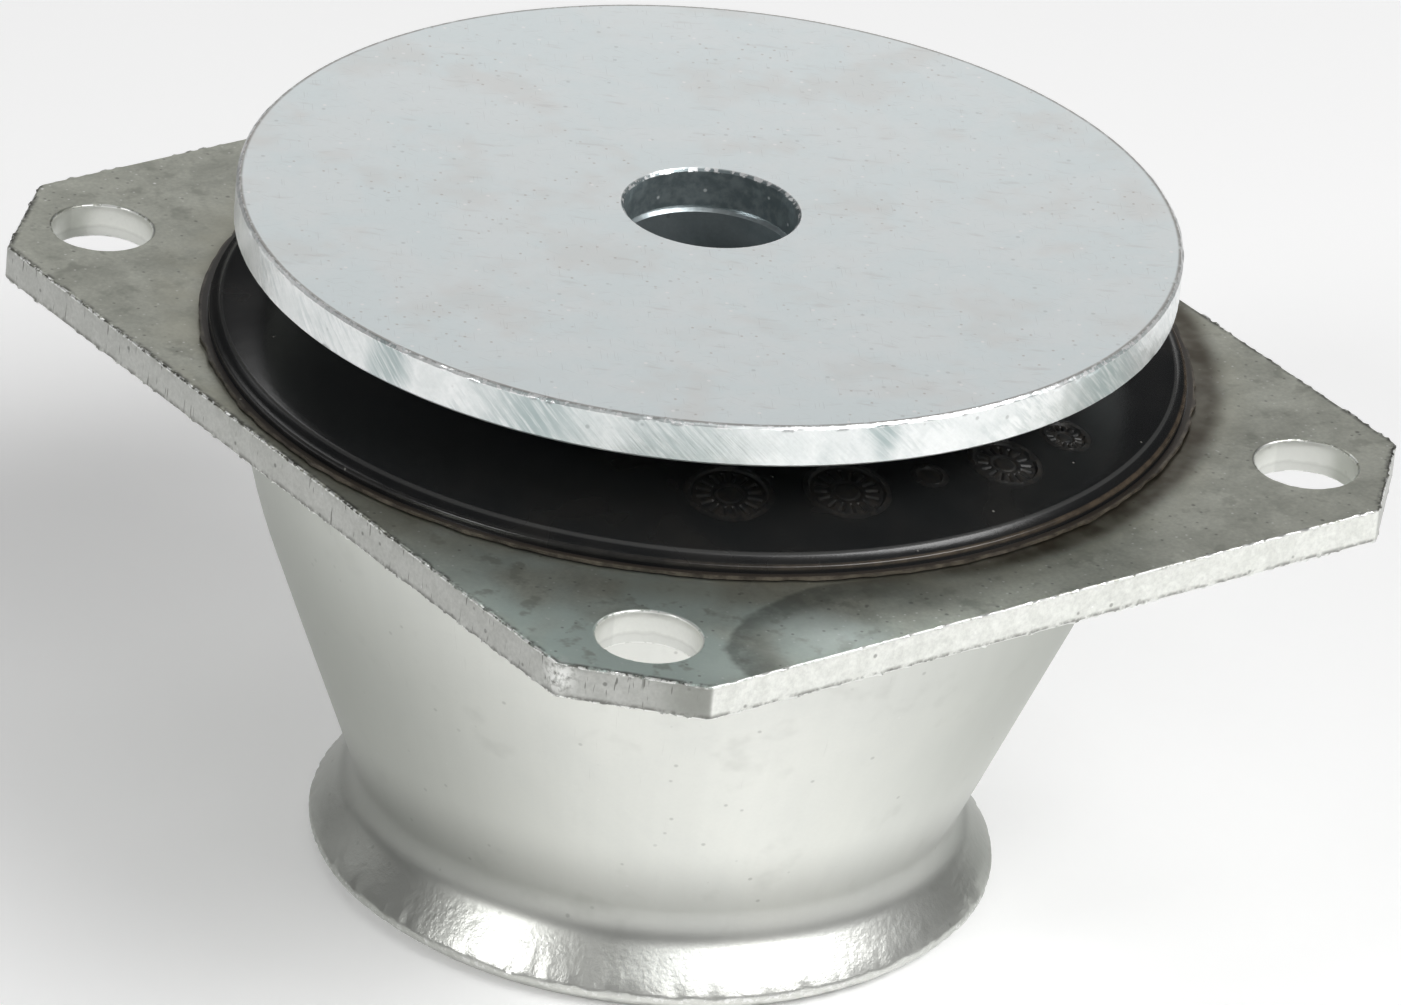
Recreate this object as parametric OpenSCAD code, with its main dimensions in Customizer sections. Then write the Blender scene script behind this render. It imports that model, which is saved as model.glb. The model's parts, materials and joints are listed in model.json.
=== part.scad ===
// Conical rubber mount: a pressed steel housing with a bolting flange, a moulded rubber cone
// bonded inside it, a turned steel core through the middle and a round plate washer on top.
// Z is the axis of the cone. The mount stands on the flared lower rim at Z = 0.

/* [Flange] */
// Distance between the fixing holes along X
hole_pitch_x = 110; // [100:1:160]
// Distance between the fixing holes along Y
hole_pitch_y = 132; // [110:1:190]
// Distance from a fixing hole's centre to the edges beside it
hole_edge = 15.5; // [12:0.5:24]
// Diameter of the fixing holes
fix_hole_d = 14; // [8:0.5:20]
// Length cut off each side at the flange's corners
corner_cut = 14.5; // [8:0.5:20]
// Rounding of the corners that the cuts leave
corner_r = 2; // [0.5:0.5:5]

/* [Housing shell] */
// Thickness of the pressed steel
sheet_t = 5; // [3:0.5:7]
// Height of the flange's top face above the lower rim
flange_h = 79; // [66:1:110]
// Flat land between the bend under the flange and the flange's nearer sides
shoulder_land = 3; // [2:0.5:10]
// Outside radius of the bend under the flange
shoulder_r = 5; // [3:0.5:8]
// Slope of the wall just under the flange, from the axis
mouth_deg = 8; // [2:1:14]
// Radius of the bulge in the upper wall
bulge_r = 95; // [70:1:140]
// Slope of the straight lower wall, from the axis
cone_deg = 21.5; // [16:0.5:25]
// Height of the neck above the lower rim
neck_h = 12; // [10:0.5:18]
// Outside radius of the bend at the neck
neck_r = 6; // [3:0.5:9]
// Slope of the flared rim, from the axis
flare_deg = 37; // [25:1:50]
// Width of the flat that the rim stands on
foot_w = 1.2; // [0.5:0.1:2]
// Rounding of the rim's outer edge
rim_edge_r = 1.2; // [0.5:0.1:2]

/* [Core] */
// Height of the core's top face above the flange's top face
core_rise = 15; // [12:0.5:24]
// Height of the core's lower face above the lower rim
core_lift = 6; // [3:0.5:12]
// Diameter of the bore for the centre bolt
bore_d = 24; // [12:0.5:29]
// Diameter of the stub that the washer seats on
stub_d = 54; // [40:1:66]
// Largest diameter of the core's cone
core_max_d = 76; // [68:1:84]
// Depth of the cone's largest diameter below the flange's top face
core_max_depth = 4; // [2:0.5:10]
// Height of the sloped shoulder between the cone and the stub
core_shoulder_h = 5.5; // [3:0.5:8]
// Diameter of the core's plain lower end
core_foot_d = 42; // [35:1:50]
// Height of the top of that plain end above the lower rim
core_foot_h = 22; // [20:1:28]
// Chamfer at both ends of the bore
bore_chamfer = 0.6; // [0.3:0.1:1.5]
// Chamfer on the core's outer edges
core_chamfer = 1; // [0.5:0.1:2]

/* [Rubber] */
// Film of bonding agent between the rubber and the steel
bond_t = 0.2; // [0.1:0.05:0.3]
// Height of the rubber against the stub, above the flange's top face
dome_rise = 8; // [6:0.5:10]
// Height of the outer ridge above the flange's top face
ridge_rise = 2.7; // [2:0.1:4]
// Width of the sloped band between the two ridge lines
ridge_step = 1.6; // [1:0.1:3]
// Height of the lower ridge line above the flange's top face
step_rise = 1.6; // [1:0.1:1.9]
// Distance that the rubber's thin edge runs out onto the flange
edge_run = 1.2; // [0.5:0.1:2]
// Thickness of that thin edge
edge_t = 0.4; // [0.2:0.1:0.8]
// Height above the neck where the rubber's underside meets the steel
hem_lift = 2; // [0.5:0.5:3]
// Height of the hollow in the rubber's underside
hollow_h = 11; // [6:1:16]

/* [Washer] */
// Outside diameter of the top washer
washer_d = 130; // [100:1:160]
// Thickness of the top washer
washer_t = 6; // [4:0.5:10]
// Chamfer on the washer's edges
washer_chamfer = 0.4; // [0.2:0.1:1]

/* [Hidden] */
$fn = 96;

plated_steel = "#a9aea9";
bright_steel = "#c3cbcf";
black_rubber = "#17181a";
bend_step = 6;
corner_step = 15;
curve_steps = 8;
cut_over = 1;
shell_lap = 1.5;

flange_x = hole_pitch_x + 2 * hole_edge;
flange_y = hole_pitch_y + 2 * hole_edge;
core_h = flange_h + core_rise;
core_max_h = flange_h - core_max_depth;

// Centres of the three bends of the shell, each as [radius, height]
shoulder_c = [min(flange_x, flange_y) / 2 - shoulder_land, flange_h - sheet_t - shoulder_r];
bulge_c = shoulder_c - (bulge_r + shoulder_r) * [cos(mouth_deg), -sin(mouth_deg)];
cone_top = bulge_c + bulge_r * [cos(cone_deg), -sin(cone_deg)];
cone_foot_h = neck_h + neck_r * sin(cone_deg);
cone_foot_r = cone_top[0] - (cone_top[1] - cone_foot_h) * tan(cone_deg);
neck_c = [cone_foot_r + neck_r * cos(cone_deg), neck_h];

// The flare runs straight from the neck until the floor cuts a flat of foot_w off its corner
flare_dir = [sin(flare_deg), -cos(flare_deg)];
flare_in = [-cos(flare_deg), -sin(flare_deg)];
flare_top = neck_c + neck_r * flare_in;
rim_corner_h = sheet_t * sin(flare_deg) - foot_w * sin(flare_deg) * cos(flare_deg);
rim_corner = flare_top + (flare_top[1] - rim_corner_h) / cos(flare_deg) * flare_dir;
rim_round_c = rim_corner + rim_edge_r * (flare_in - flare_dir);

// The rubber's underside starts where the neck's bend has risen by hem_lift
hem_r = neck_r + sheet_t + bond_t;
hem_deg = asin(hem_lift / hem_r);
hem_out = neck_c + hem_r * [-cos(hem_deg), sin(hem_deg)];
hem_in = [core_foot_d / 2 + bond_t, neck_h + hem_lift];
ridge = [shoulder_c[0] - ridge_step, flange_h + ridge_rise];
dome_in = [stub_d / 2 + bond_t, flange_h + dome_rise];

// Points of an arc about c, from angle a to angle b
function arc(c, r, a, b, step = bend_step) =
    let (n = ceil(abs(b - a) / step))
    [for (i = [0:n]) c + r * [cos(a + (b - a) * i / n), sin(a + (b - a) * i / n)]];

function reversed(p) = [for (i = [len(p) - 1:-1:0]) p[i]];

function turned(p, a) = [p[0] * cos(a) - p[1] * sin(a), p[0] * sin(a) + p[1] * cos(a)];

// The three bends of the shell at depth d below its outer face, from the flange to the neck
function bends(d, neck_end) = concat(
    arc(shoulder_c, shoulder_r + d, 90, 180 - mouth_deg),
    arc(bulge_c, bulge_r - d, -mouth_deg, -cone_deg),
    arc(neck_c, neck_r + d, 180 - cone_deg, neck_end));

// One clipped corner of the flange, rounded where each side meets the cut
function clipped_corner(half_a, half_b) =
    let (back = corner_cut + corner_r * tan(22.5))
    concat(
        arc([half_a - corner_r, half_b - back], corner_r, 0, 45, corner_step),
        arc([half_a - back, half_b - corner_r], corner_r, 45, 90, corner_step));

half_sides = [flange_x / 2, flange_y / 2];
flange_outline = [
    for (k = [0:3])
        for (p = clipped_corner(half_sides[k % 2], half_sides[(k + 1) % 2]))
            turned(p, 90 * k)];

// Half section of the shell: a short lap of flange, the bulged cone, the neck and the flare
module shell_section() {
    lap_r = shoulder_c[0] + shell_lap;
    intersection() {
        polygon(concat(
            [[lap_r, flange_h - sheet_t]],
            bends(0, 180 + flare_deg),
            arc(rim_round_c, rim_edge_r, flare_deg, flare_deg - 90),
            [rim_corner + sheet_t * flare_in],
            reversed(bends(sheet_t, 180 + flare_deg)),
            [[lap_r, flange_h]]));
        square([lap_r, flange_h]);
    }
}

// Housing, pressed and pierced from one steel blank
module housing() {
    under = flange_h - sheet_t;
    color(plated_steel) {
        rotate_extrude() shell_section();
        difference() {
            translate([0, 0, under]) linear_extrude(sheet_t) polygon(flange_outline);
            translate([0, 0, under - cut_over])
                cylinder(r = shoulder_c[0], h = sheet_t + 2 * cut_over);
            for (x = [-1, 1], y = [-1, 1])
                translate([x * hole_pitch_x / 2, y * hole_pitch_y / 2, under - cut_over])
                    cylinder(d = fix_hole_d, h = sheet_t + 2 * cut_over);
        }
    }
}

// The core's cone from the foot of the stub down to the plain lower end, with a gap outside it
function core_cone(gap) = [
    [stub_d / 2 + gap, core_max_h + core_shoulder_h + gap],
    [core_max_d / 2 + gap, core_max_h],
    [core_foot_d / 2 + gap, core_foot_h]];

// Core, turned from bar and bored for the centre bolt
module inner_core() {
    bore = bore_d / 2;
    color(bright_steel)
        rotate_extrude()
            polygon(concat(
                [[bore, core_lift + bore_chamfer],
                 [bore, core_h - bore_chamfer],
                 [bore + bore_chamfer, core_h],
                 [stub_d / 2 - core_chamfer, core_h],
                 [stub_d / 2, core_h - core_chamfer]],
                core_cone(0),
                [[core_foot_d / 2, core_lift + core_chamfer],
                 [core_foot_d / 2 - core_chamfer, core_lift],
                 [bore + bore_chamfer, core_lift]]));
}

// Rubber, moulded between the housing and the core and bonded to both: a shallow dome that
// falls to two ridge lines on top, and a hollow ring underneath
module rubber_cone() {
    color(black_rubber)
        rotate_extrude()
            polygon(concat(
                [for (i = [0:curve_steps])
                    let (u = i / curve_steps)
                    [dome_in[0] + (ridge[0] - dome_in[0]) * u,
                     dome_in[1] + (ridge[1] - dome_in[1]) * u * u]],
                [[shoulder_c[0], flange_h + step_rise],
                 [shoulder_c[0], flange_h + bond_t + edge_t],
                 [shoulder_c[0] + edge_run, flange_h + bond_t + edge_t],
                 [shoulder_c[0] + edge_run, flange_h + bond_t]],
                bends(sheet_t + bond_t, 180 - hem_deg),
                [for (i = [1:curve_steps])
                    let (u = i / curve_steps)
                    hem_out + (hem_in - hem_out) * u + [0, hollow_h * 4 * u * (1 - u)]],
                reversed(core_cone(bond_t))));
}

// Washer, a round plate that lies loose on the core's top face
module top_washer() {
    c = washer_chamfer;
    bore = bore_d / 2;
    rim = washer_d / 2;
    color(bright_steel)
        translate([0, 0, core_h])
            rotate_extrude()
                polygon([
                    [bore, c], [bore + c, 0], [rim - c, 0], [rim, c],
                    [rim, washer_t - c], [rim - c, washer_t],
                    [bore + c, washer_t], [bore, washer_t - c]]);
}

housing();
rubber_cone();
inner_core();
top_washer();
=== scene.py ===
import json
import math

import bmesh
import bpy
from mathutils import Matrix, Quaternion, Vector, noise
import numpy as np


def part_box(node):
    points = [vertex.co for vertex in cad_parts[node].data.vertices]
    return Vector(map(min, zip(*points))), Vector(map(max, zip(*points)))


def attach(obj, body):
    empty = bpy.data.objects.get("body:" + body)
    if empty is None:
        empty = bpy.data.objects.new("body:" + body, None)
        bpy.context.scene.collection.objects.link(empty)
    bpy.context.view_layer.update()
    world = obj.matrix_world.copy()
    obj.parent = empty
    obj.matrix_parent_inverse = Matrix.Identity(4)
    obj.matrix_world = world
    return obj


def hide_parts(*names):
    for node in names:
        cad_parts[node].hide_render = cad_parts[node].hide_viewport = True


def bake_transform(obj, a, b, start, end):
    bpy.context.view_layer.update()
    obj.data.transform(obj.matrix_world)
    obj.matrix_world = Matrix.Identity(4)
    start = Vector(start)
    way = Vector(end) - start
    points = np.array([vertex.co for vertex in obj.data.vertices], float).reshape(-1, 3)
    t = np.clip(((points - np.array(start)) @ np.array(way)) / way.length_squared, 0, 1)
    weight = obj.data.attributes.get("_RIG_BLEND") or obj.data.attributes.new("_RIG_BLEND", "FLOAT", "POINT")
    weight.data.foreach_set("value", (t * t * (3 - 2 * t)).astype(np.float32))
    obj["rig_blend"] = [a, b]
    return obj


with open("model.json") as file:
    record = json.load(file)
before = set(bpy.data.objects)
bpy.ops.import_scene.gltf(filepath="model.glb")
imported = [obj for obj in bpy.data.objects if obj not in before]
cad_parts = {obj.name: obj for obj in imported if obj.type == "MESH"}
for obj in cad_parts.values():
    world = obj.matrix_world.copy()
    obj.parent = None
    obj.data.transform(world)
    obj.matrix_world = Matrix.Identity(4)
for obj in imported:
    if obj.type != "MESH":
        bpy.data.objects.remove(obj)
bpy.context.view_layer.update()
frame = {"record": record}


# Housing. One 5 mm steel blank, pressed to a bulged cone with a flared foot, then clipped at the
# corners and pierced. It is zinc plated last, so its sheared edges keep their burrs under the zinc.
mm = 0.001
low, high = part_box("housing")
bolts = next(m["dims"] for m in frame["record"]["mounts"] if m["name"] == "flange_bolts")
hole_r = bolts["hole_r_mm"] * mm
hole_places = [(x * bolts["spacing_x_mm"] * mm / 2, y * bolts["spacing_y_mm"] * mm / 2)
               for x in (-1, 1) for y in (-1, 1)]
sheet_t = 5 * mm
flange_top = high.z
under_flange = flange_top - sheet_t
burr_stand = 0.25 * mm
flange_size = Vector((high.x - low.x, high.y - low.y, 0)) - Vector((2, 2, 0)) * burr_stand
corner_cut = 14.5 * mm
corner_r = 1.3 * mm
shoulder_r, bulge_r, neck_r, rim_r = 5 * mm, 95 * mm, 6 * mm, 1.2 * mm
mouth_deg, cone_deg, flare_deg = 8, 21.5, 37
neck_h = 12 * mm
foot_w = 1.2 * mm
shell_steps = 384
wall_sway, rim_bite = 0.12 * mm, 0.7 * mm
edge_round = 0.4 * mm
edge_rows = 4
burr_pitch = 0.55 * mm
edge_burr, hole_burr, burr_sink = 0.5 * mm, 0.12 * mm, 0.04 * mm


def polar(centre, radius, degrees):
    """The point of a half section at an angle and distance from a bend's centre."""
    turn = math.radians(degrees)
    return centre + radius * Vector((math.cos(turn), math.sin(turn)))


def start_section(bm, point):
    """Starts a half section in the XZ plane, where X is the radius."""
    return bmesh.ops.create_vert(bm, co=(point[0], 0, point[1]))["vert"][0]


def run(bm, vert, point, steps=1):
    """Runs the section straight on to a point, in equal steps."""
    start = vert.co.copy()
    for i in range(steps):
        vert = bmesh.ops.extrude_vert_indiv(bm, verts=[vert])["verts"][0]
        vert.co = start.lerp(Vector((point[0], 0, point[1])), (i + 1) / steps)
    return vert


def bend(bm, vert, centre, degrees, steps):
    """Bends the section on round a centre, clockwise for a positive angle."""
    arc = bmesh.ops.spin(bm, geom=[vert], cent=(centre[0], 0, centre[1]), axis=(0, 1, 0),
                         angle=math.radians(degrees), steps=steps, use_duplicate=False)
    return arc["geom_last"][0]


def lathe(bm, steps):
    """Turns the whole section once round the axis."""
    bmesh.ops.spin(bm, geom=bm.verts[:] + bm.edges[:], cent=(0, 0, 0), axis=(0, 0, 1),
                   angle=2 * math.pi, steps=steps, use_merge=True, use_duplicate=False)


def finished(bm, name):
    """Makes the mesh an object at the origin, smooth but for its flats and its sharp edges."""
    sharp_deg = 38
    bmesh.ops.recalc_face_normals(bm, faces=bm.faces[:])
    for face in bm.faces:
        face.smooth = abs(face.normal.z) < 0.99999
    for edge in bm.edges:
        edge.smooth = edge.calc_face_angle(0) < math.radians(sharp_deg)
    mesh = bpy.data.meshes.new(name)
    bm.to_mesh(mesh)
    bm.free()
    piece = bpy.data.objects.new(name, mesh)
    bpy.context.scene.collection.objects.link(piece)
    return piece


shoulder_c = Vector((min(high.x, high.y) - 3 * mm, under_flange - shoulder_r))
bulge_c = polar(shoulder_c, bulge_r + shoulder_r, 180 - mouth_deg)
cone_top = polar(bulge_c, bulge_r, -cone_deg)
cone_foot_h = neck_h + neck_r * math.sin(math.radians(cone_deg))
cone_foot_r = cone_top.x - (cone_top.y - cone_foot_h) * math.tan(math.radians(cone_deg))
neck_c = Vector((cone_foot_r + neck_r * math.cos(math.radians(cone_deg)), neck_h))
flare_dir = polar(Vector((0, 0)), 1, flare_deg - 90)
flare_in = polar(Vector((0, 0)), 1, flare_deg + 180)
flare_top = polar(neck_c, neck_r, 180 + flare_deg)
rim_h = sheet_t * math.sin(math.radians(flare_deg)) + foot_w * flare_dir.y * flare_dir.x
rim_corner = flare_top + (flare_top.y - rim_h) / -flare_dir.y * flare_dir
rim_c = rim_corner + rim_r * (flare_in - flare_dir)
foot_out = rim_corner + rim_corner.y / -flare_in.y * flare_in
foot_in = foot_out - Vector((foot_w, 0))

housing_bm = bmesh.new()
tip = start_section(housing_bm, (shoulder_c.x, under_flange))
tip = bend(housing_bm, tip, shoulder_c, mouth_deg - 90, 8)
tip = bend(housing_bm, tip, bulge_c, cone_deg - mouth_deg, 8)
tip = run(housing_bm, tip, polar(neck_c, neck_r, 180 - cone_deg), 6)
tip = bend(housing_bm, tip, neck_c, -cone_deg - flare_deg, 8)
tip = run(housing_bm, tip, polar(rim_c, rim_r, flare_deg), 3)
tip = bend(housing_bm, tip, rim_c, 90, 5)
tip = run(housing_bm, tip, foot_out, 2)
tip = run(housing_bm, tip, foot_in)
tip = run(housing_bm, tip, polar(neck_c, neck_r + sheet_t, 180 + flare_deg), 2)
tip = bend(housing_bm, tip, neck_c, cone_deg + flare_deg, 8)
tip = run(housing_bm, tip, polar(bulge_c, bulge_r - sheet_t, -cone_deg))
tip = bend(housing_bm, tip, bulge_c, mouth_deg - cone_deg, 4)
tip = bend(housing_bm, tip, shoulder_c, 90 - mouth_deg, 6)
lathe(housing_bm, shell_steps)

for vert in housing_bm.verts:
    out = Vector((vert.co.x, vert.co.y, 0)).normalized()
    down = 1 - vert.co.z / flange_top
    vert.co += out * noise.noise(vert.co / (24 * mm)) * wall_sway * down
    near_rim = (vert.co.xy.length - foot_out.x) / (rim_corner.x - foot_out.x)
    if near_rim > 0.2 and vert.co.z < rim_h + 2 * rim_r:
        bite = max(0, noise.noise(vert.co / (1.3 * mm)) - 0.1) + 0.5 * max(
            0, noise.noise(vert.co / (5 * mm)) - 0.25)
        vert.co -= out * bite * rim_bite * min(1, near_rim)

outline = bmesh.ops.create_grid(housing_bm, x_segments=1, y_segments=1, size=0.5)["verts"]
bmesh.ops.scale(housing_bm, vec=flange_size + Vector((0, 0, 1)), verts=outline)
bmesh.ops.translate(housing_bm, vec=(0, 0, flange_top), verts=outline)
for cut, steps in ((corner_cut, 1), (corner_r * math.tan(math.radians(22.5)), 4)):
    outline = bmesh.ops.bevel(housing_bm, geom=outline, affect="VERTICES", offset=cut,
                              segments=steps, profile=0.5, material=-1)["verts"]
bmesh.ops.delete(housing_bm, geom=outline[0].link_faces[:], context="FACES_ONLY")
for edge in [e for e in housing_bm.edges if e.is_wire]:
    cuts = int(edge.calc_length() / burr_pitch)
    if cuts:
        bmesh.ops.subdivide_edges(housing_bm, edges=[edge], cuts=cuts)
for x, y in hole_places:
    ring = bmesh.ops.create_circle(housing_bm, segments=80, radius=hole_r)["verts"]
    bmesh.ops.translate(housing_bm, vec=(x, y, flange_top), verts=ring)


def open_edges(z):
    """Edges with fewer than two faces that lie at one height."""
    return [e for e in housing_bm.edges if len(e.link_faces) < 2
            and all(abs(v.co.z - z) < 0.001 * mm for v in e.verts)]


side = [e for e in housing_bm.edges if e.is_wire]
level = flange_top
for _ in range(edge_rows):
    moved = bmesh.ops.extrude_edge_only(housing_bm, edges=side)["geom"]
    bmesh.ops.translate(housing_bm, vec=(0, 0, -sheet_t / edge_rows),
                        verts=[v for v in moved if isinstance(v, bmesh.types.BMVert)])
    level -= sheet_t / edge_rows
    side = [e for e in moved if isinstance(e, bmesh.types.BMEdge)
            and all(abs(v.co.z - level) < 0.001 * mm for v in e.verts)]
for z in (flange_top, under_flange):
    bmesh.ops.triangle_fill(housing_bm, use_beauty=True, edges=open_edges(z), normal=(0, 0, 1))
bmesh.ops.recalc_face_normals(housing_bm, faces=housing_bm.faces[:])

sheared = [e for e in housing_bm.edges if e.calc_face_angle(0) > math.radians(60)
           and min(v.co.z for v in e.verts) > under_flange - 0.01 * mm]
rounded = bmesh.ops.bevel(housing_bm, geom=sheared, affect="EDGES", offset=edge_round,
                          segments=3, profile=0.5, material=-1)
edge_faces = set(rounded["faces"])
burrs = housing_bm.verts.layers.float.new("burr")
for vert in {v for f in edge_faces for v in f.verts}:
    if all(f in edge_faces for f in vert.link_faces):
        vert[burrs] = 1
        grit = noise.noise(vert.co / (0.9 * mm)) + 0.6 * noise.noise(vert.co / (0.35 * mm))
        lump = min(0.5, max(0, grit - 0.12))
        off_hole = Vector((abs(vert.co.x), abs(vert.co.y))) - Vector(hole_places[-1])
        height = hole_burr if off_hole.length < hole_r + 1 * mm else edge_burr
        vert.co += vert.normal * (lump * height - burr_sink)

# One corner tore as it was clipped, and the zinc lies over the torn metal in lumps.
torn_place = Vector((-flange_size.x / 2, corner_cut - flange_size.y / 2, flange_top - 2 * mm))
torn_reach, torn_depth = 4 * mm, 0.9 * mm
for vert in housing_bm.verts:
    share = 1 - (vert.co - torn_place).length / torn_reach
    if share > 0 and under_flange + 0.1 * mm < vert.co.z < flange_top - 0.1 * mm:
        gouge = max(0, noise.noise(vert.co / (0.9 * mm)) + 0.25)
        vert.co -= vert.normal * gouge * share * torn_depth

housing = finished(housing_bm, "zinc_housing")
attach(housing, "housing_body")
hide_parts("housing")


def node(tree, kind, feeds=None, **options):
    """Adds a shader node, sets its options, and feeds its inputs from values or other nodes."""
    made = tree.nodes.new("ShaderNode" + kind)
    for name, value in options.items():
        setattr(made, name, value)
    for name, source in (feeds or {}).items():
        if isinstance(source, bpy.types.NodeSocket):
            tree.links.new(source, made.inputs[name])
        else:
            made.inputs[name].default_value = source
    return made


def maths(tree, operation, *values):
    """The result of one sum on one, two or three values."""
    return node(tree, "Math", dict(enumerate(values)), operation=operation).outputs[0]


def product(tree, *masks):
    """Several masks laid over each other: what all of them let through."""
    result = masks[0]
    for mask in masks[1:]:
        result = maths(tree, "MULTIPLY", result, mask)
    return result


def between(tree, value, start, end, low=0.0, high=1.0):
    """Goes smoothly from low to high as a value goes from start to end."""
    return node(tree, "MapRange", {"Value": value, "From Min": start, "From Max": end,
                                   "To Min": low, "To Max": high},
                interpolation_type="SMOOTHSTEP").outputs[0]


def tint(tree, amount, under, over):
    """The colour under, covered by the colour over as far as the amount says."""
    return node(tree, "Mix", {0: amount, 6: under, 7: over}, data_type="RGBA").outputs[2]


def shade(tree, colour, factor):
    """A colour made darker or lighter by a factor."""
    return node(tree, "VectorMath", {0: colour, 3: factor}, operation="SCALE").outputs[0]


def clouds(tree, point, size_mm, detail=3.0, rough=0.55, flat=False):
    """Soft noise whose patches are about so many millimetres across, by X and Y alone if flat."""
    return node(tree, "TexNoise", {"Vector": point, "Scale": 1 / size_mm, "Detail": detail,
                                   "Roughness": rough},
                noise_dimensions="2D" if flat else "3D").outputs["Fac"]


def stretched(tree, point, sizes_mm, turn_deg=0.0):
    """The point in a space where one unit is so many millimetres along each turned axis."""
    turned = node(tree, "VectorRotate", {"Vector": point, "Angle": math.radians(turn_deg)},
                  rotation_type="Z_AXIS").outputs[0]
    return node(tree, "VectorMath", {0: turned, 1: sizes_mm}, operation="DIVIDE").outputs[0]


def wrapped(tree, point, radius_mm, across_mm, along_mm):
    """The same for a round wall: one unit is so many millimetres round it and along its axis."""
    flat = node(tree, "VectorMath", {0: point, 1: (1, 1, 0)}, operation="MULTIPLY").outputs[0]
    ring = node(tree, "VectorMath", {0: flat}, operation="NORMALIZE").outputs[0]
    ring = node(tree, "VectorMath", {0: ring, 3: radius_mm / across_mm}, operation="SCALE").outputs[0]
    rise = node(tree, "VectorMath", {0: point, 1: (0, 0, 1 / along_mm)}, operation="MULTIPLY").outputs[0]
    return node(tree, "VectorMath", {0: ring, 1: rise}).outputs[0]


def near(tree, point, centre_mm, reach_mm):
    """1 at a place on the part, falling to 0 at a distance."""
    away = node(tree, "VectorMath", {0: point, 1: centre_mm}, operation="DISTANCE").outputs["Value"]
    return between(tree, away, reach_mm, 0)


def dots(tree, point, spacing_mm, size_mm, share, flat=False):
    """1 inside scattered round dots, with one dot in a share of the cells."""
    cell = node(tree, "TexVoronoi", {"Vector": point, "Scale": 1 / spacing_mm},
                voronoi_dimensions="2D" if flat else "3D")
    lot = node(tree, "SeparateColor", {0: cell.outputs["Color"]}).outputs[0]
    dot = between(tree, cell.outputs["Distance"], size_mm / spacing_mm, 0.4 * size_mm / spacing_mm)
    return product(tree, dot, between(tree, lot, 1 - share, 1 - 0.8 * share))


def places(tree):
    """Object coordinates in millimetres: the point, its X, Y and Z, and its distance from the axis."""
    point = node(tree, "VectorMath", {0: node(tree, "TexCoord").outputs["Object"], 3: 1000.0},
                 operation="SCALE").outputs[0]
    x, y, z = node(tree, "SeparateXYZ", {0: point}).outputs
    flat = node(tree, "VectorMath", {0: point, 1: (1, 1, 0)}, operation="MULTIPLY").outputs[0]
    return point, x, y, z, node(tree, "VectorMath", {0: flat}, operation="LENGTH").outputs["Value"]


def new_group(name, takes, gives):
    """A shader node group with named sockets: the group, its input sockets and its output sockets."""
    group = bpy.data.node_groups.new(name, "ShaderNodeTree")
    for side, sockets in (("INPUT", takes), ("OUTPUT", gives)):
        for label, kind in sockets.items():
            group.interface.new_socket(label, in_out=side, socket_type="NodeSocket" + kind)
    start, end = group.nodes.new("NodeGroupInput"), group.nodes.new("NodeGroupOutput")
    return group, start.outputs, end.inputs


def give(tree, gives, **results):
    """Links each result to the group output of that name."""
    for label, source in results.items():
        tree.links.new(source, gives[label.replace("_", " ")])


# Zinc skin, which every steel piece here has. The plating lies in soft clouds of two tones, with
# a fine crystal grain, a few dark pits and a few bright specks where it was knocked.
zinc_skin, takes, gives = new_group(
    "zinc_skin",
    {"Point": "Vector", "Tone": "Color", "Second tone": "Color", "Cloud size": "Float",
     "Grain": "Float", "Pits": "Float"},
    {"Colour": "Color", "Grain": "Float", "Height": "Float"})
point = takes["Point"]
spread = node(zinc_skin, "VectorMath", {0: point, 1: takes["Cloud size"]}, operation="DIVIDE")
drift = node(zinc_skin, "TexNoise", {"Vector": spread.outputs[0], "Scale": 1.0, "Detail": 4.0,
                                     "Roughness": 0.6, "Distortion": 0.5}).outputs["Fac"]
colour = tint(zinc_skin, between(zinc_skin, drift, 0.38, 0.64), takes["Tone"], takes["Second tone"])
grain = clouds(zinc_skin, point, 0.6, 2.0, 0.6)
contrast = product(zinc_skin, maths(zinc_skin, "SUBTRACT", grain, 0.5), takes["Grain"])
colour = shade(zinc_skin, colour, maths(zinc_skin, "ADD", contrast, 1.0))
pits = product(zinc_skin, dots(zinc_skin, point, 2.6, 0.42, 0.3), takes["Pits"])
knocks = product(zinc_skin, dots(zinc_skin, point, 3.7, 0.3, 0.2), takes["Pits"])
colour = tint(zinc_skin, product(zinc_skin, pits, 0.55), colour, (0.06, 0.06, 0.05, 1))
colour = tint(zinc_skin, product(zinc_skin, knocks, 0.7), colour, (1, 1, 1, 1))
height = maths(zinc_skin, "SUBTRACT", grain, maths(zinc_skin, "MULTIPLY", pits, 1.5))
give(zinc_skin, gives, Colour=colour, Grain=grain, Height=height)

# Housing finish. Pale and satin on the pressed cone, glossier on the flare where the tool
# stretched it, darker and olive on the flange's top, and grainy on the sheared edges.


def new_finish(piece, name):
    """Gives a piece its material: the material's tree and its shader."""
    made = bpy.data.materials.new(name)
    made.use_nodes = True
    piece.data.materials.append(made)
    return made.node_tree, made.node_tree.nodes["Principled BSDF"]


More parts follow.
